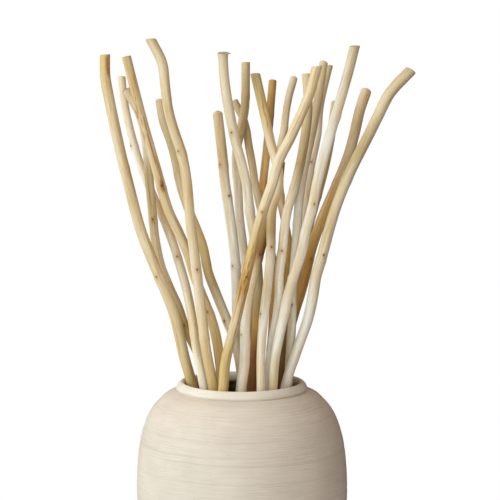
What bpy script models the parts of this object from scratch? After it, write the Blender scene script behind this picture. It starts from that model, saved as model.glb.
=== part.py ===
"""Peeled willow stems standing in a round stoneware vase.

Units are metres with +Z up; sizes below are named in millimetres and turned to
metres by MM. The origin is the centre of the vase's flat base, -Y is the front
and +X is to the right of someone who stands in front.
"""
import random
from collections import namedtuple

import bpy
import numpy as np

MM = 0.001

# Vase: height, rim and wall
VASE_HEIGHT = 240.0
MOUTH_RADIUS = 60.5
WALL = 7.0
FLOOR = 10.0
BASE_RADIUS = 68.5
VASE_STEPS = 40
# Rounded lip, from the mouth over the top to the crease under it: radius, depth below the top
LIP = ((60.5, 8.0), (60.5, 3.0), (62.0, 0.6), (64.0, 0.0), (66.6, 1.8), (68.8, 5.0), (69.0, 8.2),
       (68.2, 9.2))
# Outer side of the body, from the crease down to the foot: radius, height above the base
BODY = ((70.5, 230.4), (76.5, 228.6), (81.0, 226.2), (88.0, 220.0), (93.0, 214.5), (96.9, 209.0),
        (103.2, 194.3), (107.3, 179.4), (109.8, 161.3), (111.2, 140.0), (111.6, 126.0), (110.2, 100.0),
        (105.4, 74.0), (97.0, 48.0), (86.0, 24.0), (76.5, 8.0), (70.5, 1.6))
# Throwing ridges: a low wave that runs round the body from the shoulder to the foot
RIDGE_PITCH = 12.0
RIDGE_HEIGHT = 0.45
RIDGE_TOP = 220.0
RIDGE_BOTTOM = 10.0
# Heights where the inner wall is given a point of its own
INNER_LEVELS = (24.0, 48.0, 80.0, 126.0, 170.0, 200.0, 216.0, 225.0)

# Stems: the seam between two stems, and the fineness of the tubes
STEM_CLEARANCE = 1.6
FLOOR_GAP = 0.3
STRAIGHT_FOOT = 14.0
STEP_SHOWN = 23.0
STEP_HIDDEN = 46.0
TUBE_RESOLUTION = 2
FOOT_THICKENING = 1.04
# Leaf nodes: a slight swelling at the hand-placed ones and at others that fill the gaps
NODE_SWELLING = 1.13
NODE_HALF_LENGTH = 6.0
NODE_SPACING = 92.0

# A route is what is seen of a stem from EYE: places across and up on the upright
# plane through the vase's axis. A depth slides them along the line of sight.
EYE = (8.0, -1990.0, 581.0)
MIDDLE_HEIGHT = 377.0
LEVEL_STEP = 6.0
SETTLE_ROUNDS = 420
SETTLE_REACH = 26.0

# route: (across, up) from the mouth to the tip; depth: at the mouth, halfway and
# at the tip, where plus is to the back; width: at the mouth and at the tip;
# nodes: heights of the leaf scars that show; end: how the tip was cut
Stem = namedtuple("Stem", "route depth width nodes end colour")

PALE = (0.80, 0.73, 0.58)
CREAM = (0.72, 0.62, 0.42)
GOLDEN = (0.60, 0.42, 0.20)
BROWN = (0.42, 0.27, 0.11)

STEMS = {
    "stem_01": Stem(((-52, 234), (-60, 262), (-73, 316), (-90, 358), (-106, 400), (-117, 442), (-136, 526),
                     (-142.5, 567), (-142.3, 583)),
                    (0, -15, -20), (11.2, 10.8), (350,), "cut", CREAM),
    "stem_02": Stem(((-40, 232), (-46, 262), (-51, 295), (-54, 316), (-70, 379), (-111, 484), (-124, 547),
                     (-125, 560)),
                    (-29, 5, 60), (9.8, 8.0), (371, 487), "cut", PALE),
    "stem_03": Stem(((-39, 241), (-52, 282), (-59, 295), (-66, 316), (-84, 358), (-96, 442),
                     (-103, 508), (-108, 524), (-116, 536), (-121, 547)),
                    (0, 6, -15), (10.0, 9.2), (299, 409, 524), "cut", GOLDEN),
    "stem_04": Stem(((-21, 233), (-29, 295), (-52, 358), (-58, 379), (-77, 421), (-89, 463),
                     (-101, 505), (-120, 581)),
                    (-25, -28, -60), (10.4, 9.6), (314, 446), "cut", GOLDEN),
    "stem_05": Stem(((-30, 232), (-38, 273), (-43, 316), (-53, 400), (-64, 484), (-71, 505),
                     (-79.5, 542), (-80.4, 567), (-94.6, 599)),
                    (-37, -52, -70), (10.6, 10.0), (292, 358, 482), "cut", CREAM),
    "stem_06": Stem(((1, 236), (-5, 273), (-20, 316), (-36, 358), (-40, 379), (-63, 442),
                     (-72, 484), (-85, 526), (-86, 536)),
                    (-12, 25, 85), (10.6, 8.8), (304, 363), "cut", CREAM),
    "stem_07": Stem(((1, 236), (-5, 305), (-7, 369), (-15, 432), (-18, 453), (-20, 474), (-25.5, 524.5)),
                    (15, 8, 35), (10.4, 10.4), (362, 434, 467), "round", CREAM),
    "stem_08": Stem(((11, 232), (16, 305), (17.2, 330), (15.6, 368), (13, 392), (9.6, 411), (4, 453),
                     (-7, 495), (-18, 557), (-20, 586)),
                    (-22, -24, -50), (10.6, 9.8), (501,), "torn", PALE),
    "stem_09": Stem(((27, 232), (33, 316), (33.5, 358), (15, 442), (8, 484), (-2, 525), (-8, 535)),
                    (10, 27, 85), (8.6, 8.4), (401,), "cut", BROWN),
    "stem_10": Stem(((6, 232), (6, 325), (3.8, 360), (-3, 421), (-4, 442), (-6, 477), (3, 528), (4, 575)),
                    (30, 50, 75), (9.2, 9.4), (455,), "cut", CREAM),
    "stem_11": Stem(((20, 232), (20, 263), (30.4, 381), (33, 428), (37, 440), (27, 505), (14, 563)),
                    (-48, -57, -20), (9.2, 9.8), (311, 382, 543), "cut", GOLDEN),
    "stem_12": Stem(((8, 232), (10, 300), (12.4, 363), (14.4, 384), (17.8, 401), (20.4, 418), (21.3, 440),
                     (23, 458), (27, 495), (32, 556)),
                    (6, 36, 110), (8.4, 8.8), (436,), "cut", BROWN),
    "stem_13": Stem(((43, 236), (44.4, 290), (46.6, 340), (49.4, 385), (46.6, 403), (42.8, 415),
                     (40.6, 434), (40, 486), (44, 505), (46, 526), (54.5, 560.5)),
                    (18, 36, 100), (8.4, 8.0), (505,), "round", CREAM),
    "stem_14": Stem(((28, 232), (34, 295), (38, 316), (39.7, 358), (42.4, 379), (47.6, 421), (54, 442),
                     (66, 500), (69, 531), (67, 563)),
                    (-28, -52, -30), (9.6, 9.4), (378,), "cut", CREAM),
    "stem_15": Stem(((-20, 232), (-17, 263), (-9, 295), (29, 442), (33, 453), (35, 463), (51, 498),
                     (75, 557), (78, 571)),
                    (-48, -80, -98), (10.6, 10.0), (349, 417), "cut", GOLDEN),
    "stem_16": Stem(((49, 241), (53, 316), (53, 337), (57, 392), (60, 432), (78, 529), (85, 575)),
                    (-14, -46, 10), (9.0, 8.8), (322,), "cut", PALE),
    "stem_17": Stem(((44, 236), (50, 289), (61, 367), (70, 453), (73, 474), (76, 484), (81, 531),
                     (90, 571)),
                    (8, 15, 55), (10.0, 9.2), (469,), "cut", CREAM),
    "stem_18": Stem(((41, 236), (60, 348), (67, 390), (88, 474), (92, 495), (98, 534)),
                    (30, 60, 120), (9.4, 10.2), (523,), "cut", BROWN),
    "stem_19": Stem(((32, 232), (36, 273), (41, 295), (50, 337), (63, 379), (67, 400), (73, 421),
                     (77, 442), (111, 567), (117.3, 592)),
                    (-42, -62, -85), (10.2, 10.0), (426,), "cut", PALE),
    "stem_20": Stem(((38, 232), (43, 263), (59, 326), (66, 348), (70, 369), (116, 495), (123, 526),
                     (130, 547.5)),
                    (-2, 5, 95), (10.6, 11.4), (369, 448), "round", CREAM),
    "stem_21": Stem(((46, 234), (74, 326), (77, 348), (83, 369), (101, 432), (135, 505), (165, 557),
                     (175.5, 567)),
                    (-26, -60, -88), (10.8, 11.2), (373,), "cut", CREAM),
    "stem_22": Stem(((-1, 232), (2, 254), (5, 318), (19, 379), (38, 450), (40, 462), (40.5, 472)),
                    (-42, -42, -28), (10.8, 9.4), (289, 374), "cut", PALE),
}


def clear_scene():
    for item in list(bpy.data.objects):
        bpy.data.objects.remove(item, do_unlink=True)


def make_collection(name):
    group = bpy.data.collections.new(name)
    bpy.context.scene.collection.children.link(group)
    return group


def make_material(name, colour, roughness):
    material = bpy.data.materials.new(name)
    material.use_nodes = True
    shader = material.node_tree.nodes["Principled BSDF"]
    shader.inputs["Base Color"].default_value = (*colour, 1.0)
    shader.inputs["Roughness"].default_value = roughness
    shader.inputs["Metallic"].default_value = 0.0
    return material


def smooth_curve(places, values, at):
    """Read a smooth curve that passes through each value at its place."""
    places = np.asarray(places, dtype=float)
    values = np.asarray(values, dtype=float)
    slopes = np.gradient(values, places)
    at = np.clip(at, places[0], places[-1])
    low = np.clip(np.searchsorted(places, at) - 1, 0, len(places) - 2)
    span = places[low + 1] - places[low]
    t = (at - places[low]) / span
    return ((2 * t**3 - 3 * t**2 + 1) * values[low]
            + (t**3 - 2 * t**2 + t) * span * slopes[low]
            + (3 * t**2 - 2 * t**3) * values[low + 1]
            + (t**3 - t**2) * span * slopes[low + 1])


def body_radius(height):
    """Outer radius of the vase's body, without its ridges."""
    radii, heights = zip(*reversed(BODY))
    return smooth_curve(heights, radii, height)


def inner_radius(height):
    """Radius of the hollow at a height above the base."""
    wall = body_radius(height) - WALL
    neck = VASE_HEIGHT - LIP[0][1]
    return np.where(np.asarray(height) > neck, MOUTH_RADIUS, np.maximum(wall, MOUTH_RADIUS))


def vase_profile():
    """Radius and height from the middle of the inner floor, over the rim, to the base."""
    points = [(0.0, FLOOR), (inner_radius(FLOOR + 4.0) - 5.0, FLOOR)]
    points += [(float(inner_radius(level)), level) for level in (FLOOR + 5.0, *INNER_LEVELS)]
    points += [(radius, VASE_HEIGHT - drop) for radius, drop in LIP]
    points += [point for point in BODY if point[1] > RIDGE_TOP]
    half_waves = round((RIDGE_TOP - RIDGE_BOTTOM) / (RIDGE_PITCH / 2))
    for count in range(half_waves + 1):
        height = RIDGE_TOP - count * (RIDGE_TOP - RIDGE_BOTTOM) / half_waves
        wave = RIDGE_HEIGHT if count % 2 else -RIDGE_HEIGHT
        points.append((float(body_radius(height)) + wave, height))
    points += [point for point in BODY if point[1] < RIDGE_BOTTOM]
    points += [(BASE_RADIUS, 0.0), (0.0, 0.0)]
    return points


def make_vase(group):
    profile = [(radius * MM, 0.0, height * MM) for radius, height in vase_profile()]
    edges = [(count, count + 1) for count in range(len(profile) - 1)]
    mesh = bpy.data.meshes.new("vase")
    mesh.from_pydata(profile, edges, [])
    vase = bpy.data.objects.new("vase", mesh)
    group.objects.link(vase)
    turn = vase.modifiers.new("turned on the wheel", "SCREW")
    turn.axis = "Z"
    turn.steps = VASE_STEPS
    turn.render_steps = VASE_STEPS
    turn.use_merge_vertices = True
    turn.merge_threshold = 0.00001
    turn.use_smooth_shade = True
    mesh.materials.append(make_material("cream stoneware", (0.62, 0.55, 0.44), 0.75))


def sight_scale(depth):
    """How much further a place at a depth lies from the eye than the middle plane."""
    return 1.0 - depth / EYE[1]


def seen_across(stem, levels, depth):
    """Real place across of a stem at each level, when it lies at the given depth."""
    scale = sight_scale(depth)
    seen_up = EYE[2] + (levels - EYE[2]) / scale
    mouth = stem.route[0][0]
    places = [FLOOR, FLOOR + STRAIGHT_FOOT] + [up for _, up in stem.route]
    values = [mouth, mouth] + [across for across, _ in stem.route]
    seen = smooth_curve(places, values, seen_up)
    return EYE[0] + (seen - EYE[0]) * scale


def planned_depth(stem, levels):
    mouth, middle, tip = stem.depth
    places = [FLOOR, FLOOR + STRAIGHT_FOOT, VASE_HEIGHT, MIDDLE_HEIGHT, stem.route[-1][1]]
    return smooth_curve(places, [mouth, mouth, mouth, middle, tip], levels)


def tip_height(stem):
    scale = sight_scale(stem.depth[2])
    return EYE[2] + (stem.route[-1][1] - EYE[2]) * scale


def stem_radius(stem, levels):
    mouth, tip = stem.width
    share = (levels - VASE_HEIGHT) / (tip_height(stem) - VASE_HEIGHT)
    radius = (mouth + (tip - mouth) * np.clip(share, 0.0, 1.0)) / 2
    foot = 1.0 + (FOOT_THICKENING - 1.0) * np.clip(1.0 - levels / VASE_HEIGHT, 0.0, 1.0)
    return radius * foot


def settle(stems):
    """Let the stems rest beside each other, never through each other.

    At every level two stems that are too close are pushed apart in depth, the one
    in front to the front, so that the bunch looks the same from the eye. Each push
    is spread up and down its stem, which bends it gently.
    """
    highest = max(tip_height(stem) for stem in stems)
    levels = np.arange(FLOOR, highest + LEVEL_STEP, LEVEL_STEP)
    depth = np.array([planned_depth(stem, levels) for stem in stems])
    radius = np.array([stem_radius(stem, levels) for stem in stems])
    grows = np.array([levels <= tip_height(stem) + LEVEL_STEP for stem in stems])
    first, second = np.triu_indices(len(stems), 1)
    both = grows[first] & grows[second]
    order = np.where(depth[first] <= depth[second], -1.0, 1.0)
    at_mouth = np.searchsorted(levels, VASE_HEIGHT)
    order[:, :at_mouth] = order[:, at_mouth:at_mouth + 1]
    offsets = levels[:, None] - levels[None, :]
    spread = np.exp(-0.5 * (offsets / SETTLE_REACH) ** 2)
    hollow = np.where(levels < VASE_HEIGHT + LEVEL_STEP, inner_radius(levels), np.inf)
    room = hollow - radius - STEM_CLEARANCE / 2
    for _ in range(SETTLE_ROUNDS):
        across = np.array([seen_across(stem, levels, line) for stem, line in zip(stems, depth)])
        lean_across = np.gradient(across, levels, axis=1)
        lean_back = np.gradient(depth, levels, axis=1)
        stretch = np.sqrt(1.0 + lean_across**2 + lean_back**2)
        wide = radius * stretch
        need = wide[first] + wide[second] + STEM_CLEARANCE
        side = across[first] - across[second]
        gap = (depth[first] - depth[second]) * order
        wanted = np.sqrt(np.clip(need**2 - side**2, 0.0, None))
        short = np.where(both, np.clip(wanted - gap, 0.0, None), 0.0) * (wanted > 0)
        push = np.zeros_like(depth)
        most = np.zeros_like(depth)
        for sign, members in ((1.0, first), (-1.0, second)):
            np.add.at(push, members, sign * order * short / 2)
            np.maximum.at(most, members, short / 2)
        allowed = np.sqrt(np.clip(room**2 - across**2, 0.0, None))
        outside = np.clip(np.abs(depth) - allowed, 0.0, None) * np.isfinite(room)
        push -= np.sign(depth) * outside
        weight = spread @ (np.abs(push) > 0).astype(float).T
        moved = (spread @ push.T) / np.maximum(weight, 1.0)
        if max(most.max(), outside.max()) < 0.02:
            break
        depth += 0.6 * moved.T
    return levels, depth


def node_heights(stem, dice):
    """The leaf scars that show, and others that keep the spacing of a grown stem."""
    lowest = VASE_HEIGHT + 0.3 * NODE_SPACING
    highest = tip_height(stem) - 0.35 * NODE_SPACING
    heights = [height for height in stem.nodes if height < highest]
    marks = sorted([lowest - NODE_SPACING, *heights, highest + NODE_SPACING])
    for low, high in zip(marks, marks[1:]):
        count = round((high - low) / NODE_SPACING) - 1
        for number in range(count):
            share = (number + 1 + dice.uniform(-0.2, 0.2)) / (count + 1)
            height = low + share * (high - low)
            if lowest < height < highest:
                heights.append(height)
    return sorted(heights)


def sample_heights(stem, nodes):
    """Heights of the tube's points: few inside the vase, closer above, more at a node."""
    foot = FLOOR + FLOOR_GAP
    tip = tip_height(stem)
    shown_from = VASE_HEIGHT - 18.0
    hidden = round((shown_from - foot - STRAIGHT_FOOT) / STEP_HIDDEN)
    shown = round((tip - shown_from) / STEP_SHOWN)
    heights = [foot]
    heights += list(np.linspace(foot + STRAIGHT_FOOT, shown_from, hidden, endpoint=False))
    heights += list(np.linspace(shown_from, tip, shown + 1))
    apart = 1.6 * NODE_HALF_LENGTH
    heights = [height for height in heights
               if all(abs(height - node) > apart for node in nodes)]
    for node in nodes:
        heights += [node - NODE_HALF_LENGTH, node, node + NODE_HALF_LENGTH]
    return sorted(heights)


def shape_tip(points, radii, end):
    """Round off or flare the last few millimetres of the stem."""
    last = points[-1]
    direction = (last - points[-2]) / np.linalg.norm(last - points[-2])
    radius = radii[-1]
    if end == "round":
        points[-1] = last - direction * 0.7 * radius
        points += [last - direction * 0.25 * radius, last]
        radii += [0.84 * radius, 0.45 * radius]
    elif end == "torn":
        points[-1] = last - direction * 1.6 * radius
        points += [last - direction * 0.5 * radius, last]
        radii += [1.12 * radius, 1.28 * radius]
    return points, radii


def make_stem(group, name, stem, levels, depth):
    nodes = node_heights(stem, random.Random(name))
    heights = np.array(sample_heights(stem, nodes))
    back = np.interp(heights, levels, depth)
    back[heights < FLOOR + STRAIGHT_FOOT + 1.0] = back[1]
    across = seen_across(stem, heights, back)
    across[0] = across[1]
    points = list(np.column_stack((across, back, heights)))
    radii = list(stem_radius(stem, heights))
    for count, height in enumerate(heights):
        if height in nodes:
            radii[count] *= NODE_SWELLING
    points, radii = shape_tip(points, radii, stem.end)

    curve = bpy.data.curves.new(name, "CURVE")
    curve.dimensions = "3D"
    curve.bevel_depth = MM
    curve.bevel_resolution = TUBE_RESOLUTION
    curve.use_fill_caps = True
    spline = curve.splines.new("POLY")
    spline.points.add(len(points) - 1)
    for target, point, radius in zip(spline.points, points, radii):
        target.co = (*(point * MM), 1.0)
        target.radius = radius
    curve.materials.append(make_material(name + " willow", stem.colour, 0.6))
    group.objects.link(bpy.data.objects.new(name, curve))


clear_scene()
willow_vase = make_collection("willow_stems_in_vase")
make_vase(willow_vase)
stem_levels, stem_depths = settle(list(STEMS.values()))
for (stem_name, one_stem), one_depth in zip(STEMS.items(), stem_depths):
    make_stem(willow_vase, stem_name, one_stem, stem_levels, one_depth)
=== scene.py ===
"""Peeled willow stems in a round stoneware vase: the finish, dressed round the frame."""

import math
import random

import bmesh
import bpy
import numpy as np
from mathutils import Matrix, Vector


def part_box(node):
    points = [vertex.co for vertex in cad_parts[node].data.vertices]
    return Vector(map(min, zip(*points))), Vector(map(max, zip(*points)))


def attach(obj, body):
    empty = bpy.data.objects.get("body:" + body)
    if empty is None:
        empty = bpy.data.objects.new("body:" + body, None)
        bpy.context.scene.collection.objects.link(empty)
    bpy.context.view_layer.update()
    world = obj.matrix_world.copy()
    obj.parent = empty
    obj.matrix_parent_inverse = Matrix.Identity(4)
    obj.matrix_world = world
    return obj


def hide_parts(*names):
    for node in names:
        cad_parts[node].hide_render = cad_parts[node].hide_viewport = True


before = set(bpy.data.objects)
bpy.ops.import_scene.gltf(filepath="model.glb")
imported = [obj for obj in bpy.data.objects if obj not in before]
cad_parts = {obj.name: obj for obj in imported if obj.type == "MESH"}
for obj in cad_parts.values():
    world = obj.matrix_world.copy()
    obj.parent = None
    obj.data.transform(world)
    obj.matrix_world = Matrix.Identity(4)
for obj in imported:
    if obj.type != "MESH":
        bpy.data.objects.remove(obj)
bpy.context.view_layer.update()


# Willow stems
# Each is a shoot of willow, steamed, stripped of its bark and dried as it grew, with
# its bends. The wood is left bare. Bud scars show where the leaves sat, and the sawn
# ends show the growth rings round a soft brown pith.

MM = 0.001
SIDES = 28
# Rings along a stem, in mm: close where it shows, and closest at its nodes and its tip
HIDDEN_STEP = 9.0
SHOWN_MARGIN = 22.0
RING_STEP = 2.4
NODE_STEP = 0.7
NODE_REACH = 6.3
TIP_STEP = 0.5
TIP_LENGTH = 4.2
TIP_EDGE = 0.2
CLOSEST = 0.4 * NODE_STEP
mouth_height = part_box("vase")[1].z / MM

# Wood colours, from freshly peeled sapwood to wood that the sun has browned, and last a dark reddish
# brown that is mostly painted shade
CHALK = "#F0F1E6"
CREAM = "#E4DDC2"
OAT = "#DDD3B3"
STRAW = "#D8CBA6"
ASH = "#C5B994"
HONEY = "#D0BB80"
DUN = "#B4A478"
GOLD = "#E4C384"
AMBER = "#C09E54"
UMBER = "#967B40"
# Mostly painted shade: a dark reddish brown for stretches of stem that lie deep behind others
RUSSET_PAINTED_SHADE = "#8C5F2E"

# Colours from the mouth of the vase up to the tip. A few darker stretches are painted shade, as noted
# by those stems
TONES = {
    "stem_01": (HONEY, STRAW, STRAW, OAT, STRAW, OAT, STRAW, HONEY),
    "stem_02": (CHALK, CREAM, CREAM, CREAM, CREAM, CHALK, CREAM, OAT),
    "stem_03": (STRAW, HONEY, OAT, OAT, STRAW, OAT, CHALK, CREAM),
    "stem_04": (HONEY, HONEY, STRAW, STRAW, STRAW, STRAW, STRAW, STRAW),
    "stem_05": (HONEY, STRAW, OAT, OAT, STRAW, STRAW, STRAW, OAT, STRAW),
    "stem_06": (STRAW, CHALK, DUN, HONEY, STRAW, ASH, STRAW),
    "stem_07": (CHALK, CHALK, CHALK, CHALK, CHALK, STRAW, STRAW),
    # stem_08: its dark browns near the mouth are mostly painted shade, for the stretch that lies deep
    # behind stems 22 and 11
    "stem_08": (RUSSET_PAINTED_SHADE, RUSSET_PAINTED_SHADE, AMBER, DUN, ASH, CREAM, CHALK, CHALK, CREAM, CREAM, CREAM, OAT),
    "stem_09": (AMBER, AMBER, AMBER, HONEY, OAT, ASH, ASH),
    # stem_10: its DUN stretch near 530 mm is painted shade, where stem 09 crosses it
    "stem_10": (CHALK, CHALK, CHALK, CHALK, CHALK, CHALK, ASH, DUN, ASH),
    # stem_11: its DUN stretch at about 400 mm is painted shade, cast by stem 15 crossing in front
    "stem_11": (CHALK, CHALK, CHALK, CHALK, CHALK, DUN, STRAW, CREAM, OAT, HONEY, DUN),
    "stem_12": (AMBER, AMBER, HONEY, HONEY, GOLD, GOLD, UMBER, AMBER),
    "stem_13": (AMBER, AMBER, AMBER, AMBER, OAT, STRAW, CREAM, OAT),
    "stem_14": (CHALK, CHALK, CHALK, CHALK, CHALK, DUN, ASH, STRAW),
    "stem_15": (HONEY, HONEY, OAT, AMBER, HONEY, STRAW, CREAM, OAT, OAT, CREAM),
    "stem_16": (CHALK, CHALK, CHALK, CHALK, CHALK, CREAM, ASH, STRAW),
    "stem_17": (STRAW, CREAM, CREAM, CREAM, CHALK, CREAM, STRAW),
    "stem_18": (UMBER, HONEY, HONEY, STRAW),
    "stem_19": (CREAM, CHALK, CHALK, CHALK, CHALK, CHALK, CHALK, ASH),
    "stem_20": (UMBER, UMBER, AMBER, AMBER, HONEY, ASH, ASH, OAT),
    "stem_21": (CHALK, CHALK, CHALK, CREAM, OAT, OAT, ASH, OAT, ASH),
    # stem_22: its brown upper part is painted shade, where it lies behind stems 11 and 15
    "stem_22": (CHALK, CHALK, CHALK, CHALK, CREAM, STRAW, RUSSET_PAINTED_SHADE, UMBER, UMBER, UMBER, UMBER),
}
# The colours drift by a share of the shown length, and change over so many mm
TONE_DRIFT = 0.012
TONE_LENGTH = 40.0
# How much bark stain is left: a trace, or more where the stem is named
TRACE = 0.15
STAINED = {"stem_04": 0.9, "stem_15": 0.8, "stem_12": 0.7, "stem_03": 0.7, "stem_10": 0.4,
           "stem_09": 0.6, "stem_01": 0.5, "stem_13": 0.6, "stem_20": 0.5, "stem_11": 0.4}
# Brown bruises: height above the base, side as for a scar, half length and half width in mm
BRUISES = {
    "stem_01": ((572, 0.55, 11.0, 2.0),),
    "stem_04": ((450, 0.25, 7.0, 2.2), (500, 0.3, 36.0, 0.45), (520, -0.25, 32.0, 0.4),
                (524, -0.8, 4.5, 1.8)),
    "stem_11": ((525, 0.1, 22.0, 0.8),),
    "stem_15": ((335, 0.55, 30.0, 0.6), (372, 0.1, 24.0, 0.5), (300, 0.45, 34.0, 0.6),
                (352, -0.35, 20.0, 0.4)),
}
BRUISE_DRIFT = 0.8
BRUISE_LENGTH = 9.0
# Bud scars that face the front: height above the base, and side, from -1 at the
# stem's left edge to 1 at its right edge
SCARS = {
    "stem_01": ((354, -0.4),),
    "stem_02": ((371, 0.0), (487, -0.8)),
    "stem_03": ((299, 0.1), (412, 0.0)),
    "stem_04": ((318, -0.2), (450, 0.2)),
    "stem_05": ((365, 0.2), (487, -0.5)),
    "stem_06": ((304, -0.5),),
    "stem_07": ((362, -0.6), (434, 0.4), (467, -0.6)),
    "stem_08": ((505, -0.4),),
    "stem_11": ((319, -0.8), (388, 0.1)),
    "stem_14": ((384, -0.1),),
    "stem_15": ((361, 0.1), (427, -0.1)),
    "stem_16": ((328, -0.2),),
    "stem_17": ((469, -0.1),),
    "stem_19": ((434, 0.2),),
    "stem_20": ((369, 0.4), (448, 0.6)),
    "stem_21": ((382, 0.2),),
    "stem_22": ((296, -0.8), (379, 0.2)),
}
# A scar is moved to the height that SCARS gives when it is no further off than this, and
# one that SCARS doesn't name is turned to the back. Its size varies by a share
SCAR_MATCH = 16.0
BACK = (0.55 * math.pi, 1.45 * math.pi)
SCAR_SPREAD = (0.75, 1.2)
# A ring of the solid is a node's where it is so much wider than those beside it. Less
# than half of that swelling is kept, since the cushion under the bud adds the rest
NODE_SWELL = 1.05
SWELL_KEPT = 0.45
# Relief at a node in mm: the cushion under the bud, the line of the leaf round the stem,
# and the pit that the bud left. Each has its half length and, if it is a spot, half width.
# On the side away from the bud the line is only a share as high
CUSHION = 0.55
CUSHION_SIZE = (3.0, 2.1)
LEAF_LINE = 0.16
LEAF_LINE_DROP = 2.4
LEAF_LINE_SIZE = 0.9
LEAF_LINE_BEHIND = 0.4
PIT = 0.62
PIT_RISE = 0.3
PIT_SIZE = (1.1, 0.9)
# The dark scar and the browned wood round it
SCAR_RISE = 0.2
SCAR_SIZE = (1.4, 1.15)
HALO_SIZE = (4.2, 2.6)
# The wood is a little oval, fluted and lumpy: waves round the stem, their depth as a share
# of its radius, and the length in mm over which they change
FLUTES = ((2, 0.026, 60.0), (3, 0.014, 34.0), (5, 0.008, 26.0))
LUMPS = 0.014
LUMP_LENGTH = 19.0
# Slant of the saw cut at the tip, in degrees, and the side that is left longer
CUTS = {
    "stem_01": (5, 70), "stem_04": (3, 20), "stem_05": (24, -60), "stem_11": (10, -80),
    "stem_15": (22, 80), "stem_16": (10, -30), "stem_17": (18, 60), "stem_19": (16, 90),
    "stem_21": (20, 30),
}
# The slant fades out over so many radii
CUT_EASE = 3.2
# A sawn end has a small worn bevel, then rings in to the pith: the share of the rim's
# size, and the rise beyond it in mm
END_RINGS = ((0.93, 0.35), (0.6, 0.32), (0.25, 0.28))
PITH_RISE = 0.2
# Snapped or knocked round at the tip: height of the dome, and width left at its top, as
# shares of the radius
ROUNDED = ("stem_07", "stem_13", "stem_20")
DOME = 0.62
DOME_TOP = 0.42
# Torn, not sawn: the last fibres flare to the right in a ragged lip. Sizes in mm
TORN = "stem_08"
TEAR_LENGTH = 3.4
TEAR_FLARE = 1.9
TEAR_RAGGED = 0.4
TEAR_SAG = 1.1
TEAR_POINTS = 5
# The grain pattern of each stem starts at a place of its own along this many mm
GRAIN_LENGTH = 4000
# The rim of a sawn end stays a sharp edge: the least angle of one, in degrees
SHARP = 50


def linear(hex_colour):
    """Turn an sRGB hex colour to linear red, green, blue and alpha."""
    parts = [int(hex_colour[at:at + 2], 16) / 255 for at in (1, 3, 5)]
    return [part / 12.92 if part <= 0.04045 else ((part + 0.055) / 1.055) ** 2.4
            for part in parts] + [1.0]


def add(tree, kind, settings=None, **links):
    """Add a node, set what settings names, and link or fill the sockets that links names."""
    node = tree.nodes.new("ShaderNode" + kind)
    for name, value in (settings or {}).items():
        setattr(node, name, value)
    for name, value in links.items():
        key = int(name[1:]) if name[0] == "i" and name[1:].isdigit() else name.replace("_", " ")
        if isinstance(value, bpy.types.NodeSocket):
            tree.links.new(value, node.inputs[key])
        else:
            node.inputs[key].default_value = value
    return node


def smooth_through(at, places, values):
    """Read a smooth curve that passes through each value at its place."""
    places = np.asarray(places, dtype=float)
    values = np.asarray(values, dtype=float)
    slopes = np.gradient(values, places, axis=0)
    low = np.clip(np.searchsorted(places, at) - 1, 0, len(places) - 2)
    span = places[low + 1] - places[low]
    t = (at - places[low]) / span
    if values.ndim > 1:
        span, t = span[:, None], t[:, None]
    return ((2 * t**3 - 3 * t**2 + 1) * values[low] + (t**3 - 2 * t**2 + t) * span * slopes[low]
            + (3 * t**2 - 2 * t**3) * values[low + 1] + (t**3 - t**2) * span * slopes[low + 1])


def wander(at, wavelength, dice):
    """A smooth random line between about -1 and 1 with bends a wavelength apart."""
    places = np.arange(at.min() - wavelength, at.max() + 2 * wavelength, wavelength)
    return smooth_through(at, places, [dice.uniform(-1, 1) for _ in places])


def centreline(name):
    """Places and radii along a stem, in mm, from the rings of its solid in the frame."""
    solid = bmesh.new()
    solid.from_mesh(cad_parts[name].data)
    bmesh.ops.remove_doubles(solid, verts=solid.verts, dist=0.01 * MM)
    lowest = min(vert.co.z for vert in solid.verts)
    ring = {vert for vert in solid.verts if vert.co.z < lowest + 0.05 * MM}
    seen = set(ring)
    places, radii = [], []
    while ring:
        corners = np.array([vert.co for vert in ring]) / MM
        places.append(corners.mean(0))
        radii.append(np.linalg.norm(corners - corners.mean(0), axis=1).mean())
        ring = {edge.other_vert(vert) for vert in ring for edge in vert.link_edges} - seen
        seen |= ring
    solid.free()
    if name in ROUNDED:
        radii[-2:] = [radii[-3]] * 2
    return np.array(places), np.array(radii)


def ring_places(total, shown_from, nodes):
    """Places along the stem for its rings: close where it shows, closest at the nodes."""
    places = list(np.arange(0.0, shown_from, HIDDEN_STEP))
    places += list(np.linspace(shown_from, total, round((total - shown_from) / RING_STEP)))
    places = [place for place in places if all(abs(place - node) > NODE_REACH for node in nodes)]
    for node in nodes:
        places += list(np.arange(node - NODE_REACH, node + NODE_REACH, NODE_STEP))
    places += list(np.arange(total - TIP_LENGTH, total - TIP_EDGE, TIP_STEP))
    places = sorted({round(place, 3) for place in places})
    spaced = [places[0]]
    for place in places[1:-1]:
        if place - spaced[-1] > CLOSEST and total - place > CLOSEST:
            spaced.append(place)
    return np.array(spaced + [total])


def bud_scars(name, nodes, rings, along, dice):
    """Place, side and size of each node's bud scar; the side is 0 at the front."""
    scars = []
    for node in nodes:
        height = np.interp(node, along, rings[:, 2])
        size = dice.uniform(*SCAR_SPREAD)
        turn = dice.uniform(*BACK)
        for level, side in SCARS.get(name, ()):
            if abs(level - height) < SCAR_MATCH:
                node = float(np.interp(level, rings[:, 2], along))
                turn = math.asin(side)
        scars.append((node, turn, size))
    return scars


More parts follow.
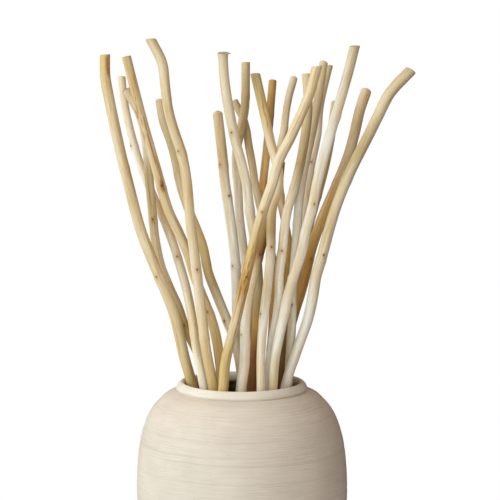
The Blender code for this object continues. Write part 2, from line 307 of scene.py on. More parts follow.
def grown_line(name, dice):
    """A stem's line, the length along it and its radii, in mm, and its bud scars."""
    rings, radii = centreline(name)
    steps = np.linalg.norm(np.diff(rings, axis=0), axis=1)
    along = np.concatenate(([0.0], np.cumsum(steps)))
    last_node = along[-1] - 4 * NODE_REACH
    beside = (radii[:-2] + radii[2:]) / 2
    bulge = radii[1:-1] > NODE_SWELL * beside
    nodes = [place for place, swells, height in zip(along[1:-1], bulge, rings[1:-1, 2])
             if swells and height > mouth_height and place < last_node]
    eased = (1 - SWELL_KEPT) * beside + SWELL_KEPT * radii[1:-1]
    radii[1:-1] = np.where(bulge, eased, radii[1:-1])
    return rings, along, radii, bud_scars(name, nodes, rings, along, dice)


def angle_from(angle, middle):
    """Angles counted from a middle one, from half a turn before it to half a turn after."""
    return (angle - middle + math.pi) % (2 * math.pi) - math.pi


def spot(up, across, half_length, half_width, power=2):
    """An oval spot: 1 in the middle, falling away at its edge, more sharply by its power."""
    return np.exp(-(up / half_length) ** power - (across / half_width) ** power)


def fluted(place, angle, dice):
    """The share of its radius that a stem has at each ring and side."""
    share = np.ones((len(place), SIDES))
    for waves, depth, wavelength in FLUTES:
        share += depth * wander(place, wavelength, dice)[:, None] * np.cos(waves * angle)
        share += depth * wander(place, wavelength, dice)[:, None] * np.sin(waves * angle)
    return share + LUMPS * wander(place, LUMP_LENGTH, dice)[:, None]


def scarred(reach, place, radius, angle, scars):
    """Give reach the relief of the nodes. Returns where scar and halo colour each node."""
    scar = np.zeros_like(reach)
    halo = np.zeros_like(reach)
    for node, turn, size in scars:
        up = place[:, None] - node
        side = angle_from(angle, turn)
        across = radius[:, None] * side
        line = np.exp(-((up + LEAF_LINE_DROP) / LEAF_LINE_SIZE) ** 2)
        line = line * (LEAF_LINE_BEHIND + (1 - LEAF_LINE_BEHIND) * np.cos(side / 2) ** 2)
        reach += CUSHION * spot(up, across, *CUSHION_SIZE)
        reach += LEAF_LINE * line
        reach -= PIT * spot(up - PIT_RISE, across, *PIT_SIZE)
        length, width = SCAR_SIZE
        scar = np.maximum(scar, spot(up - SCAR_RISE, across, length * size, width * size))
        halo = np.maximum(halo, spot(up, across, *HALO_SIZE))
    return scar, halo


def bruised(name, place, height, radius, angle, dice):
    """How bruised the wood is at each ring and side, from 0 to 1."""
    bruise = np.zeros((len(place), SIDES))
    for level, side, half_length, half_width in BRUISES.get(name, ()):
        across = radius[:, None] * angle_from(angle, math.asin(side))
        across = across + BRUISE_DRIFT * wander(place, BRUISE_LENGTH, dice)[:, None]
        up = height[:, None] - level
        bruise = np.maximum(bruise, spot(up, across, half_length, half_width, 4))
    return bruise


def finish_tip(name, reach, to_tip, end_radius, angle, dice):
    """Round or tear the tip in reach. Returns how far points slide along for the cut."""
    # A stem that CUTS doesn't name is sawn nearly square
    slant, longer = CUTS.get(name, (dice.uniform(1, 4), dice.uniform(0, 360)))
    slope = math.tan(math.radians(slant))
    ending = np.clip(1.0 - to_tip / (CUT_EASE * end_radius), 0.0, 1.0)[:, None]
    slide = reach * np.cos(angle - math.radians(longer)) * slope * ending
    if name in ROUNDED:
        dome = DOME * end_radius
        up = np.clip((dome - to_tip) / dome, 0.0, 1.0)
        reach *= (DOME_TOP + (1 - DOME_TOP) * np.sqrt(1.0 - up ** 2))[:, None]
    if name == TORN:
        lip = np.clip(1.0 - to_tip / TEAR_LENGTH, 0.0, 1.0)[:, None] ** 2
        ragged = 0.5 + 0.5 * np.sin(TEAR_POINTS * angle + 1.0)
        right = np.clip(np.sin(angle), 0, 1)
        left = np.clip(-np.sin(angle), 0, 1)
        reach += lip * (TEAR_FLARE * right ** 2 + TEAR_RAGGED * ragged - left)
        slide += lip * (TEAR_RAGGED * ragged - TEAR_SAG * right - TEAR_SAG)
    return slide


def toned(name, height, place, dice):
    """The wood's colour at each ring, from the tones between the mouth and the tip, with the painted
    shade that a few stems have.
    """
    level = np.clip((height - mouth_height) / (height[-1] - mouth_height), 0, 1)
    level += TONE_DRIFT * wander(place, TONE_LENGTH, dice)
    tones = np.array([linear(tone)[:3] for tone in TONES[name]])
    stops = np.linspace(0, 1, len(tones))
    return np.column_stack([np.interp(level, stops, tones[:, part]) for part in range(3)])


def band(low, high, count):
    """Faces between two rings of points, given the first point of each."""
    faces = []
    for side in range(count):
        after = (side + 1) % count
        faces.append((low + side, low + after, high + after, high + side))
    return faces


def fan(rim, middle, count):
    """Faces from a ring of points in to the point in its middle."""
    return [(rim + side, rim + (side + 1) % count, middle) for side in range(count)]


def spread(data, first, share):
    """Give a ring of new points, or one in the middle, the values of the stem's last ring."""
    count = SIDES if share > 0 else 1
    for name, values in data.items():
        rim = values[first:first + count].copy()
        if name == "straight":
            rim[:, :2] *= share
        elif name == "edge":
            rim[:] = share
        elif name in ("scar", "halo", "bruise", "stained"):
            rim[:] = 0.0
        data[name] = np.concatenate((values, rim))


def close_end(points, data, first, outward):
    """Close the ring that starts at a point with a sawn end. Returns points and faces."""
    rim = points[first:first + SIDES]
    middle = rim.mean(0)
    before = first
    faces = []
    for share, rise in END_RINGS:
        start = len(points)
        points = np.vstack((points, middle + (rim - middle) * share + outward * rise))
        faces += band(before, start, SIDES)
        spread(data, first, share)
        before = start
    faces += fan(before, len(points), SIDES)
    points = np.vstack((points, middle + outward * PITH_RISE))
    spread(data, first, 0.0)
    return points, faces


def stem_mesh(name):
    """A stem's points in mm, its faces, the first sawn face, and its point attributes."""
    dice = random.Random(name)
    rings, along, radii, scars = grown_line(name, dice)
    total = along[-1]
    shown_from = float(np.interp(mouth_height - SHOWN_MARGIN, rings[:, 2], along))
    place = ring_places(total, shown_from, [node for node, _, _ in scars])
    centre = smooth_through(place, along, rings)
    radius = np.interp(place, along, radii)
    tangent = np.gradient(centre, place, axis=0)
    tangent /= np.linalg.norm(tangent, axis=1)[:, None]
    front = np.array((0.0, -1.0, 0.0)) - tangent * -tangent[:, 1:2]
    front /= np.linalg.norm(front, axis=1)[:, None]
    right = np.cross(tangent, front)

    angle = np.linspace(0.0, 2 * math.pi, SIDES, endpoint=False)[None, :]
    reach = radius[:, None] * fluted(place, angle, dice)
    scar, halo = scarred(reach, place, radius, angle, scars)
    height = np.interp(place, along, rings[:, 2])
    bruise = bruised(name, place, height, radius, angle, dice)
    slide = finish_tip(name, reach, total - place, radius[-1], angle, dice)
    tint = toned(name, centre[:, 2], place, dice)

    forward, sideways = reach * np.cos(angle), reach * np.sin(angle)
    points = (centre[:, None, :] + front[:, None, :] * forward[..., None]
              + right[:, None, :] * sideways[..., None] + tangent[:, None, :] * slide[..., None])
    points = points.reshape(-1, 3)
    lengthwise = place[:, None] + dice.uniform(0, GRAIN_LENGTH)
    straight = np.stack(np.broadcast_arrays(forward, sideways, lengthwise), axis=-1)
    data = {
        "straight": straight.reshape(-1, 3),
        "tint": np.repeat(tint, SIDES, axis=0),
        "scar": scar.reshape(-1),
        "halo": halo.reshape(-1),
        "bruise": bruise.reshape(-1),
        "stained": np.full(len(points), STAINED.get(name, TRACE)),
        "edge": np.ones(len(points)),
    }
    last = len(points) - SIDES
    faces = [face for low in range(0, last, SIDES) for face in band(low, low + SIDES, SIDES)]
    points, base = close_end(points, data, 0, -tangent[0])
    points, tip = close_end(points, data, last, tangent[-1])
    return points, faces + [face[::-1] for face in base] + tip, len(faces), data


def build(name, points, faces, attributes, materials):
    """Make a smooth-shaded object from points in mm and its named point attributes."""
    mesh = bpy.data.meshes.new(name)
    mesh.from_pydata((np.asarray(points) * MM).tolist(), [], faces)
    for key, values in attributes.items():
        values = np.asarray(values, dtype=np.float32)
        if key == "tint":
            layer = mesh.attributes.new(key, "FLOAT_COLOR", "POINT")
            full = np.column_stack((values, np.ones(len(values), np.float32)))
            layer.data.foreach_set("color", full.astype(np.float32).ravel())
        elif values.ndim == 2:
            mesh.attributes.new(key, "FLOAT_VECTOR", "POINT").data.foreach_set("vector", values.ravel())
        else:
            mesh.attributes.new(key, "FLOAT", "POINT").data.foreach_set("value", values)
    for material in materials:
        mesh.materials.append(material)
    mesh.shade_smooth()
    piece = bpy.data.objects.new(name, mesh)
    bpy.context.scene.collection.objects.link(piece)
    return piece


def ramp(tree, factor, *stops):
    """Colour ramp through (place, colour) stops, where a number is a grey."""
    node = add(tree, "ValToRGB", i0=factor)
    elements = node.color_ramp.elements
    while len(elements) < len(stops):
        elements.new(0.5)
    for element, (place, colour) in zip(elements, stops):
        element.position = place
        element.color = linear(colour) if isinstance(colour, str) else (colour,) * 3 + (1.0,)
    return node.outputs["Color"]


def mix(tree, kind, factor, below, above):
    """Blend two colours by a factor. Each of the three is a socket or a plain value."""
    node = add(tree, "Mix", {"data_type": "RGBA", "blend_type": kind})
    for socket, value in ((node.inputs[0], factor), (node.inputs[6], below), (node.inputs[7], above)):
        if isinstance(value, bpy.types.NodeSocket):
            tree.links.new(value, socket)
        else:
            socket.default_value = value
    return node.outputs[2]


def streaks(tree, source, across, lengthwise, detail):
    """Noise whose marks are so many mm wide across the stem and so many mm long."""
    scaled = add(tree, "Mapping", Vector=source, Scale=(1 / across, 1 / across, 1 / lengthwise))
    noise = add(tree, "TexNoise", Vector=scaled.outputs["Vector"], Scale=1.0, Detail=detail,
                Roughness=0.55)
    return noise.outputs["Fac"]


def peeled_willow():
    """Bare willow sapwood, peeled wet and air dried: dull, silky, with fine lengthwise
    grain, honey-brown streaks where the bark clung, and dark brown bud scars."""
    material = bpy.data.materials.new("peeled_willow")
    material.use_nodes = True
    tree = material.node_tree
    shader = tree.nodes["Principled BSDF"]
    straight = add(tree, "Attribute", {"attribute_name": "straight"}).outputs["Vector"]
    # The tint is the wood's colour, and on a few stems painted shade
    colour = add(tree, "Attribute", {"attribute_name": "tint"}).outputs["Color"]
    scar = add(tree, "Attribute", {"attribute_name": "scar"}).outputs["Fac"]
    halo = add(tree, "Attribute", {"attribute_name": "halo"}).outputs["Fac"]
    stained = add(tree, "Attribute", {"attribute_name": "stained"}).outputs["Fac"]
    bruise = add(tree, "Attribute", {"attribute_name": "bruise"}).outputs["Fac"]
    # Grain is about 0.5 mm wide, as the fibre is here; drawn 1.2 mm wide so that it shows.
    # Weathered patches are 7 mm wide, bark stains 2 mm, and flecks 1 mm wide and 3 mm long
    grain = streaks(tree, straight, 1.2, 26.0, 3.0)
    fibre = streaks(tree, straight, 0.5, 14.0, 2.0)
    patch = streaks(tree, straight, 7.0, 70.0, 2.0)
    stain = streaks(tree, straight, 2.0, 55.0, 3.0)
    fleck = streaks(tree, straight, 1.0, 3.0, 1.0)
    colour = mix(tree, "MULTIPLY", 1.0, colour,
                 ramp(tree, grain, (0.3, "#F0E8D8"), (0.62, "#FFFFFF")))
    colour = mix(tree, "MULTIPLY", 0.7, colour,
                 ramp(tree, patch, (0.34, "#EAD6A8"), (0.54, "#FFFFFF")))
    colour = mix(tree, "MULTIPLY", stained, colour,
                 ramp(tree, stain, (0.54, "#FFFFFF"), (0.64, "#E2C88A"), (0.74, "#C09A54")))
    colour = mix(tree, "MULTIPLY", 1.0, colour,
                 ramp(tree, fleck, (0.68, "#FFFFFF"), (0.78, "#DCC59A")))
    colour = mix(tree, "MULTIPLY", ramp(tree, halo, (0.1, 0.0), (1.0, 0.6)), colour,
                 linear("#DDBB80"))
    colour = mix(tree, "MULTIPLY", ramp(tree, bruise, (0.15, 0.0), (0.8, 0.85)), colour,
                 linear("#CDA764"))
    colour = mix(tree, "MIX", ramp(tree, scar, (0.2, 0.0), (0.75, 0.88)), colour, linear("#4A3520"))
    tree.links.new(colour, shader.inputs["Base Color"])
    rough = add(tree, "MapRange", Value=grain, From_Min=0.3, From_Max=0.7, To_Min=0.52, To_Max=0.68)
    tree.links.new(rough.outputs["Result"], shader.inputs["Roughness"])
    shader.inputs["IOR"].default_value = 1.45
    shader.inputs["Sheen Weight"].default_value = 0.12
    shader.inputs["Sheen Roughness"].default_value = 0.5
    height = add(tree, "Math", {"operation": "ADD"}, i0=grain, i1=fibre).outputs[0]
    bump = add(tree, "Bump", Strength=0.55, Distance=0.12 * MM, Height=height)
    tree.links.new(bump.outputs["Normal"], shader.inputs["Normal"])
    return material


def sawn_willow():
    """End grain of a dry willow shoot, sawn across: duller and browner than the peeled
    side, with a growth ring or two round a soft brown pith."""
    material = bpy.data.materials.new("sawn_willow_end")
    material.use_nodes = True
    tree = material.node_tree
    shader = tree.nodes["Principled BSDF"]
    straight = add(tree, "Attribute", {"attribute_name": "straight"}).outputs["Vector"]
    tint = add(tree, "Attribute", {"attribute_name": "tint"}).outputs["Color"]
    edge = add(tree, "Attribute", {"attribute_name": "edge"}).outputs["Fac"]
    # Growth rings are about 1.4 mm apart, and the pores 0.5 mm across
    rings = add(tree, "TexWave", {"wave_type": "RINGS", "rings_direction": "Z"}, Vector=straight,
                Scale=0.22, Distortion=0.6, Detail=2.0)
    pores = add(tree, "TexNoise", Vector=straight, Scale=2.2, Detail=3.0)
    colour = mix(tree, "MULTIPLY", 1.0, tint, linear("#E6DDCC"))
    colour = mix(tree, "MULTIPLY", 0.5, colour,
                 ramp(tree, rings.outputs["Fac"], (0.2, 0.62), (0.7, 1.0)))
    colour = mix(tree, "MULTIPLY", 0.5, colour,
                 ramp(tree, pores.outputs["Fac"], (0.35, 0.7), (0.6, 1.0)))
    colour = mix(tree, "MIX", ramp(tree, edge, (0.12, 0.7), (0.3, 0.0)), colour, linear("#7A5A34"))
    tree.links.new(colour, shader.inputs["Base Color"])
    shader.inputs["Roughness"].default_value = 0.8
    bump = add(tree, "Bump", Strength=0.7, Distance=0.15 * MM, Height=pores.outputs["Fac"])
    tree.links.new(bump.outputs["Normal"], shader.inputs["Normal"])
    return material


willow = peeled_willow()
willow_end = sawn_willow()
for stem_name in sorted(TONES):
    stem_points, stem_faces, sawn_from, stem_data = stem_mesh(stem_name)
    stem = build("willow_" + stem_name, stem_points, stem_faces, stem_data, [willow, willow_end])
    for face in stem.data.polygons[sawn_from:]:
        face.material_index = 1
    stem.data.set_sharp_from_angle(angle=math.radians(SHARP))
    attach(stem, "root")
    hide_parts(stem_name)


# Stoneware vase
# Thrown on the wheel in buff stoneware and combed while it turned, which leaves fine uneven ridges from
# the shoulder to the foot. Fired with a thin matt cream slip; the hollow is left raw, and the foot is
# wiped flat. The raw clay is painted darker than buff, as painted shade in the hollow.

# Points round the vase, and the mm between their rows outside and inside
COLUMNS = 128
ROW = 0.44
INNER_ROW = 2.6
# The combed part of the wall, in mm. The solid's own ridges are evened out there, but for
# a margin at the top
COMB_PITCH = 2.5
COMB_DEPTH = 0.42
COMB_FOOT = 12.0
COMB_TOP = 225.0
COMB_FADE = 4.0
RIDGE_MARGIN = 6.0
# The comb was held by hand, so the space between its lines varies by a share, as does its pressure on
# each. The lines drift by a share of that space. The comb was held down by HOLD, more or less by LIFT
# and never past HELD. Drift and lift change over so many mm of height. The higher the power, the
# narrower a groove is. A groove FULL_GROOVE deep, or deeper, gets the most dirt and painted shade
TOOTH_SPREAD = (0.65, 1.4)
PRESSURE = (0.3, 1.0)
COMB_DRIFT = 0.42
DRIFT_LENGTH = 30.0
HOLD = 0.72
LIFT = 0.4
HELD = (0.2, 1.15)
LIFT_LENGTH = 18.0
GROOVE_POWER = 1.3
FULL_GROOVE = 1.6 * COMB_DEPTH
# The turned lip: where it starts, and the faint lines on it, in mm and radians a mm
LIP_BOTTOM = 231.0
LIP_FADE = 1.5
LIP_LINES = 0.03
LIP_LINE_TURN = 1.9
LIP_BUMPS = 0.05
LIP_BUMP_LENGTH = 5.0
# Thrown by hand: out of round by this, on a rim that rises and falls by as much, in mm
UNEVEN = 0.35
UNEVEN_LENGTH = 70.0
# The slip reaches this far down inside, and was wiped off the lowest edge of the foot
SLIP_REACH = 222.0
SLIP_FADE = 6.0
WIPED = 1.2
WIPE_FADE = 0.6
# Rings of points under the foot and on the floor inside, as shares of the radius
FOOT_RINGS = (0.12, 0.5, 0.9)
FLOOR_RINGS = (0.85, 0.5, 0.12)
# Broader bands that the fingers left: height above the base, half width, depth, and the
# side where each is deepest, in degrees from the front, to the right. The higher the
# power, the sooner a band fades to the sides. Its waves rise and fall by up to a drift each
BANDS = ((194.0, 1.3, 0.24, -50), (178.5, 1.3, 0.5, -55), (170.5, 1.2, 0.5, 35),
         (186.0, 1.1, 0.16, 120), (208.0, 1.4, 0.18, 60), (152.0, 1.6, 0.24, -20),
         (128.0, 1.8, 0.3, 80), (101.0, 1.6, 0.25, -90), (72.0, 1.8, 0.3, 20),
         (44.0, 1.5, 0.25, -150))
BAND_POWER = 1.5
BAND_DRIFT = 0.5
SLIP = "#D6D2C5"
GROOVE_DIRT_AND_SHADE = "#B9B09C"
LIP_SLIP = "#E0DFD3"
# Raw clay, painted darker than buff so that it also stands for the shade in the hollow
RAW_CLAY_AND_HOLLOW_SHADE = "#857058"


def vase_outline():
    """Radius and height of the solid's outline, in mm, from the foot up over the rim and
    down inside to the floor, with the solid's coarse ridges smoothed away."""
    solid = bmesh.new()
    solid.from_mesh(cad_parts["vase"].data)
    bmesh.ops.remove_doubles(solid, verts=solid.verts, dist=0.01 * MM)
    left = {vert for vert in solid.verts if abs(vert.co.y) < 0.01 * MM and vert.co.x > 0}
    here = min(left, key=lambda vert: vert.co.z)
    outline = []
    while here:
        outline.append((here.co.x / MM, here.co.z / MM))
        left.discard(here)
        near = [edge.other_vert(here) for edge in here.link_edges]
        near = [vert for vert in near if vert in left]
        here = min(near, key=lambda vert: (vert.co - here.co).length) if near else None
    solid.free()
    outline = np.array(outline)
    radius = outline[:, 0].copy()
    evened = (radius[:-2] + 2 * radius[1:-1] + radius[2:]) / 4
    top = int(outline[:, 1].argmax())
    ridged = (outline[1:-1, 1] > COMB_FOOT) & (outline[1:-1, 1] < COMB_TOP - RIDGE_MARGIN)
    ridged &= np.arange(1, len(outline) - 1) < top
    outline[1:-1, 0] = np.where(ridged, evened, radius[1:-1])
    return outline, top


def wobble(level, turn, wavelength, dice):
    """Smooth noise over the wall, from about -1 to 1, that meets itself after a turn."""
    total = np.zeros((len(level), len(turn)))
    for waves in (1, 2, 3, 5, 8):
        total += wander(level, wavelength, dice)[:, None] * np.cos(waves * turn)[None, :]
        total += wander(level, wavelength, dice)[:, None] * np.sin(waves * turn)[None, :]
    # The ten waves together reach about 2.2
    return total / 2.2


def combed(level, turn, dice):
    """How deep the comb and the fingers cut at each height and angle, in mm."""
    teeth = [0.0]
    while teeth[-1] < COMB_TOP + COMB_PITCH:
        teeth.append(teeth[-1] + COMB_PITCH * dice.uniform(*TOOTH_SPREAD))
    strength = [dice.uniform(*PRESSURE) for _ in teeth]
    # The lines drift, fade and run into each other
    count = np.interp(level, teeth, range(len(teeth)))[:, None]
    count = count + COMB_DRIFT * wobble(level, turn, DRIFT_LENGTH, dice)
    groove = (0.5 - 0.5 * np.cos(2 * math.pi * count)) ** GROOVE_POWER
    groove *= np.interp(level, teeth, strength)[:, None]
    groove *= np.clip(HOLD + LIFT * wobble(level, turn, LIFT_LENGTH, dice), *HELD)
    cut = COMB_DEPTH * groove
    for height, half, depth, side in BANDS:
        drift = sum(dice.uniform(-BAND_DRIFT, BAND_DRIFT)
                    * np.cos(waves * turn + dice.uniform(0, 6)) for waves in (1, 2, 4))
        held = (0.5 + 0.5 * np.cos(turn - math.radians(side - 90))) ** BAND_POWER
        away = level[:, None] - height - drift[None, :]
        cut += depth * held[None, :] * np.exp(-(away / half) ** 2)
    return cut


def vase_mesh():
    """The vase's points in mm, its faces and its point attributes."""
    dice = random.Random("vase")
    outline, top = vase_outline()
    along = np.concatenate(([0.0], np.cumsum(np.linalg.norm(np.diff(outline, axis=0), axis=1))))
    neck = top + int(np.argmax(outline[top:, 1] < LIP_BOTTOM))
    outside = np.arange(0.0, along[neck], ROW)
    inside = np.linspace(along[neck], along[-1], round((along[-1] - along[neck]) / INNER_ROW))
    place = np.concatenate((outside, inside))
    line = smooth_through(place, along, outline)
    slope = np.gradient(line, place, axis=0)
    slope /= np.linalg.norm(slope, axis=1)[:, None]
    turn = np.linspace(0.0, 2 * math.pi, COLUMNS, endpoint=False)

    outer = (place <= along[top]).astype(float)
    level = line[:, 1]
    comb_zone = outer / (1 + np.exp(-(COMB_TOP - level) / (0.25 * COMB_FADE)))
    comb_zone *= np.clip((level - COMB_FOOT) / COMB_FADE, 0, 1)
    cut = combed(level, turn, dice) * comb_zone[:, None]
    lip = np.clip((level - LIP_BOTTOM) / LIP_FADE, 0, 1)
    shallow = LIP_LINES * np.sin(level * LIP_LINE_TURN)[:, None]
    shallow = shallow + LIP_BUMPS * wobble(level, turn, LIP_BUMP_LENGTH, dice)
    cut += shallow * (lip * outer)[:, None]
    # The foot stays round and flat: the unevenness comes in over the first 20 mm, and the
    # tilt of the rim over the last 40
    uneven = UNEVEN * wobble(level, turn, UNEVEN_LENGTH, dice) * np.clip(level / 20, 0, 1)[:, None]
    tilt = UNEVEN * np.cos(2 * turn + 0.6)[None, :] * np.clip((level - 200) / 40, 0, 1)[:, None]
    radius = line[:, :1] - cut * slope[:, 1:] + uneven
    height = line[:, 1:] + cut * slope[:, :1] + tilt

    raw = np.where(outer > 0, np.clip((WIPED - level) / WIPE_FADE, 0, 1),
                   np.clip((SLIP_REACH - level) / SLIP_FADE, 0, 1))
    groove = np.clip(cut / FULL_GROOVE, 0, 1)
    flat = np.zeros(COLUMNS)
    rings = [(radius[0] * share, flat, 1.0, flat, 0.0) for share in FOOT_RINGS]
    rings += list(zip(radius, height, raw, groove, lip))
    rings += [(radius[-1] * share, height[-1], 1.0, flat, 0.0) for share in FLOOR_RINGS]
    points = [np.column_stack((ring[0] * np.cos(turn), ring[0] * np.sin(turn), ring[1]))
              for ring in rings]
    points = np.vstack(points + [(0.0, 0.0, 0.0), (0.0, 0.0, height[-1].mean())])
    data = {
        "raw": np.append(np.repeat([ring[2] for ring in rings], COLUMNS), (1.0, 1.0)),
        "groove": np.append(np.concatenate([ring[3] for ring in rings]), (0.0, 0.0)),
        "lip": np.append(np.repeat([ring[4] for ring in rings], COLUMNS), (0.0, 0.0)),
    }
    last = (len(rings) - 1) * COLUMNS
    faces = [face[::-1] for face in fan(0, len(points) - 2, COLUMNS)]
    for low in range(0, last, COLUMNS):
        faces += band(low, low + COLUMNS, COLUMNS)
    return points, faces + fan(last, len(points) - 1, COLUMNS), data


def combed_stoneware():
    """Buff stoneware under a thin matt slip, combed wet and fired unglazed: chalky and dull, and darker
    in the grooves, partly from dirt and partly as painted shade of the comb lines. Its raw clay is
    painted darker than buff, which stands for shade in the hollow."""
    material = bpy.data.materials.new("combed_stoneware_slip")
    material.use_nodes = True
    tree = material.node_tree
    shader = tree.nodes["Principled BSDF"]
    where = add(tree, "TexCoord").outputs["Object"]
    raw = add(tree, "Attribute", {"attribute_name": "raw"}).outputs["Fac"]
    groove = add(tree, "Attribute", {"attribute_name": "groove"}).outputs["Fac"]
    lip = add(tree, "Attribute", {"attribute_name": "lip"}).outputs["Fac"]
    in_mm = add(tree, "Mapping", Vector=where, Scale=(1 / MM, 1 / MM, 1 / MM)).outputs["Vector"]
    # The slip is cloudy over 30 mm or so
    cloud = add(tree, "TexNoise", Vector=in_mm, Scale=0.03, Detail=3.0).outputs["Fac"]
    # Wiping marks lie level: about 1.3 mm high and 25 mm long
    wiped = streaks(tree, in_mm, 25.0, 1.3, 3.0)
    # Grit is 0.7 mm across. Iron specks of about 1 mm lie some 8 mm apart in the clay, so
    # that only a few show on its face
    grit = add(tree, "TexNoise", Vector=in_mm, Scale=1.4, Detail=3.0, Roughness=0.6).outputs["Fac"]
    specks = add(tree, "TexVoronoi", Vector=in_mm, Scale=0.12, Randomness=1.0)
    colour = mix(tree, "MIX", lip, linear(SLIP), linear(LIP_SLIP))
    colour = mix(tree, "MULTIPLY", 1.0, colour, ramp(tree, cloud, (0.35, 0.93), (0.65, 1.0)))
    colour = mix(tree, "MULTIPLY", 1.0, colour,
                 ramp(tree, wiped, (0.3, "#F8F5EE"), (0.62, "#FFFFFF")))
    # Painted shade in the comb lines, with some dirt: the grooves are darker by their depth
    colour = mix(tree, "MIX", ramp(tree, groove, (0.15, 0.0), (1.0, 0.4)), colour,
                 linear(GROOVE_DIRT_AND_SHADE))
    colour = mix(tree, "MIX", ramp(tree, specks.outputs["Distance"], (0.045, 0.5), (0.075, 0.0)),
                 colour, linear("#A08A68"))
    # The raw clay colour, darker than buff, is partly painted shade in the hollow
    clay = mix(tree, "MULTIPLY", 1.0, linear(RAW_CLAY_AND_HOLLOW_SHADE), ramp(tree, grit, (0.35, 0.82), (0.6, 1.0)))
    colour = mix(tree, "MIX", raw, colour, clay)
    tree.links.new(colour, shader.inputs["Base Color"])
    rough = add(tree, "MapRange", Value=cloud, From_Min=0.3, From_Max=0.7, To_Min=0.74, To_Max=0.86)
    tree.links.new(rough.outputs["Result"], shader.inputs["Roughness"])
    shader.inputs["IOR"].default_value = 1.45
    height = mix(tree, "MIX", 0.5, wiped, grit)
    bump = add(tree, "Bump", Strength=0.6, Distance=0.16 * MM, Height=height)
    tree.links.new(bump.outputs["Normal"], shader.inputs["Normal"])
    return material


vase_points, vase_faces, vase_data = vase_mesh()
vase = build("stoneware_vase", vase_points, vase_faces, vase_data, [combed_stoneware()])
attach(vase, "root")
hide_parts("vase")


# The studio
# A plain white table that runs off into a white room, lit by one big soft light from
# the front left, as for a product picture.

# The table, in metres: it lies just under the foot. Between the two distances of
# TABLE_FADE its paint gives way to the white of the room, a share of which is all over it
TABLE_RADIUS = 4.0
TABLE_CORNERS = 128
TABLE_DROP = 0.0002
TABLE_FADE = (0.16, 0.34)
TABLE_FADED = 0.2
TABLE_GLOW = 0.85
# The camera: lens and eye in mm, and how far it looks down in degrees
FOCAL = 137.14
EYE = (8.4, -1989.8, 581.4)
LOOK_DOWN = 5.8
# The soft lamp, in metres and watts
SOFTBOX_PLACE = (-1.85, -1.1, 1.0)
SOFTBOX_AIM = (0, 0, 0.35)
SOFTBOX_SIZE = 1.2
SOFTBOX_POWER = 12.2
# The light of the room: where its middle is, how nearly a direction has to point there to
# be out of the dark and in full light, and where the warm tone ends
LIGHT_FROM = (-0.698, -0.648, 0.306)
LIGHT_EDGE = (-0.16, 0.38)
BRIGHT_SIDE = 1.26
DARK_SIDE = 0.14
WARM_EDGE = 0.62


def softbox():
    """The soft lamp: a wide glowing disc at the front left, turned to the stems."""
    lamp = bpy.data.lights.new("softbox", "AREA")
    lamp.shape = "DISK"
    lamp.size = SOFTBOX_SIZE
    lamp.energy = SOFTBOX_POWER
    light = bpy.data.objects.new("softbox", lamp)
    light.location = SOFTBOX_PLACE
    direction = Vector(SOFTBOX_AIM) - Vector(SOFTBOX_PLACE)
    light.rotation_euler = direction.to_track_quat("-Z", "Y").to_euler()
    bpy.context.scene.collection.objects.link(light)


def camera_only(tree, seen, unseen):
    """One value for what the camera sees directly, and another for the light it gives."""
    path = add(tree, "LightPath").outputs["Is Camera Ray"]
    return add(tree, "MapRange", Value=path, To_Min=unseen, To_Max=seen).outputs["Result"]


def towards_light(tree, direction):
    """How nearly a direction points to the middle of the big light: 1 when it does."""
    return add(tree, "VectorMath", {"operation": "DOT_PRODUCT"}, i0=direction,
               i1=LIGHT_FROM).outputs["Value"]


def lit(tree, direction, strength):
    """Light that is at full strength round LIGHT_FROM and fades out on the far side."""
    return add(tree, "MapRange", {"interpolation_type": "SMOOTHSTEP"},
               Value=towards_light(tree, direction), From_Min=LIGHT_EDGE[0], From_Max=LIGHT_EDGE[1],
               To_Min=DARK_SIDE, To_Max=strength).outputs["Result"]


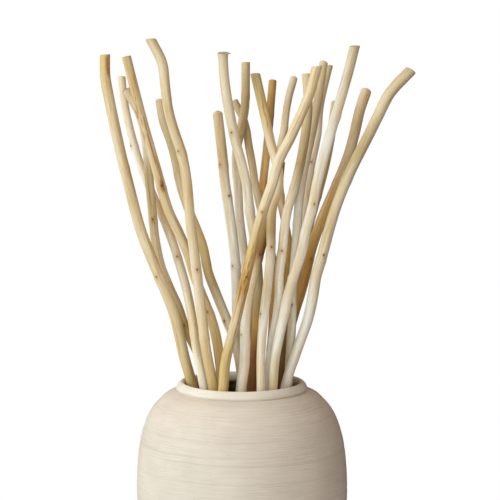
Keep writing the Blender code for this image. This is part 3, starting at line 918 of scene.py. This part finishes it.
def white_table():
    """Matt white painted board that glows into the white of the room further out."""
    material = bpy.data.materials.new("white_table")
    material.use_nodes = True
    tree = material.node_tree
    shader = tree.nodes["Principled BSDF"]
    # Cool enough to look white in the warm light of the room
    shader.inputs["Base Color"].default_value = linear("#E6F1FE")
    shader.inputs["Roughness"].default_value = 0.9
    where = add(tree, "TexCoord").outputs["Object"]
    # The side of the table that is nearer the light throws more of it back
    lit_side = add(tree, "VectorMath", {"operation": "NORMALIZE"}, i0=where).outputs["Vector"]
    shine = lit(tree, lit_side, TABLE_GLOW)
    glow = add(tree, "Emission", Strength=camera_only(tree, 1.0, shine))
    away = add(tree, "VectorMath", {"operation": "LENGTH"}, i0=where).outputs["Value"]
    fade = add(tree, "MapRange", {"interpolation_type": "SMOOTHSTEP"}, Value=away,
               From_Min=TABLE_FADE[0], From_Max=TABLE_FADE[1], To_Min=TABLE_FADED)
    both = add(tree, "MixShader", i0=fade.outputs["Result"], i1=shader.outputs[0],
               i2=glow.outputs[0])
    tree.links.new(both.outputs[0], tree.nodes["Material Output"].inputs["Surface"])
    return material


bpy.ops.mesh.primitive_circle_add(vertices=TABLE_CORNERS, radius=TABLE_RADIUS, fill_type="NGON")
table = bpy.context.object
table.name = "white_table"
table.location.z = -TABLE_DROP
table.data.materials.append(white_table())

softbox()

camera_data = bpy.data.cameras.new("camera")
camera_data.lens = FOCAL
camera = bpy.data.objects.new("camera", camera_data)
camera.location = [place * MM for place in EYE]
camera.rotation_euler = (math.radians(90 - LOOK_DOWN), 0, 0)
bpy.context.scene.collection.objects.link(camera)
bpy.context.scene.camera = camera

world = bpy.data.worlds.new("white_room")
world.use_nodes = True
bpy.context.scene.world = world
room = world.node_tree
back = room.nodes["Background"]
direction = add(room, "TexCoord").outputs["Generated"]
room.links.new(camera_only(room, 1.0, lit(room, direction, BRIGHT_SIDE)), back.inputs["Strength"])
warmth = add(room, "MapRange", Value=towards_light(room, direction), From_Min=LIGHT_EDGE[0],
             From_Max=WARM_EDGE).outputs["Result"]
bright = ramp(room, warmth, (0.0, "#F6EFE4"), (0.12, "#FF9C38"), (1.0, "#FFFFFF"))
seen = add(room, "LightPath").outputs["Is Camera Ray"]
room.links.new(mix(room, "MIX", seen, bright, linear("#FFFFFF")), back.inputs["Color"])
bpy.context.scene.view_settings.view_transform = "Standard"
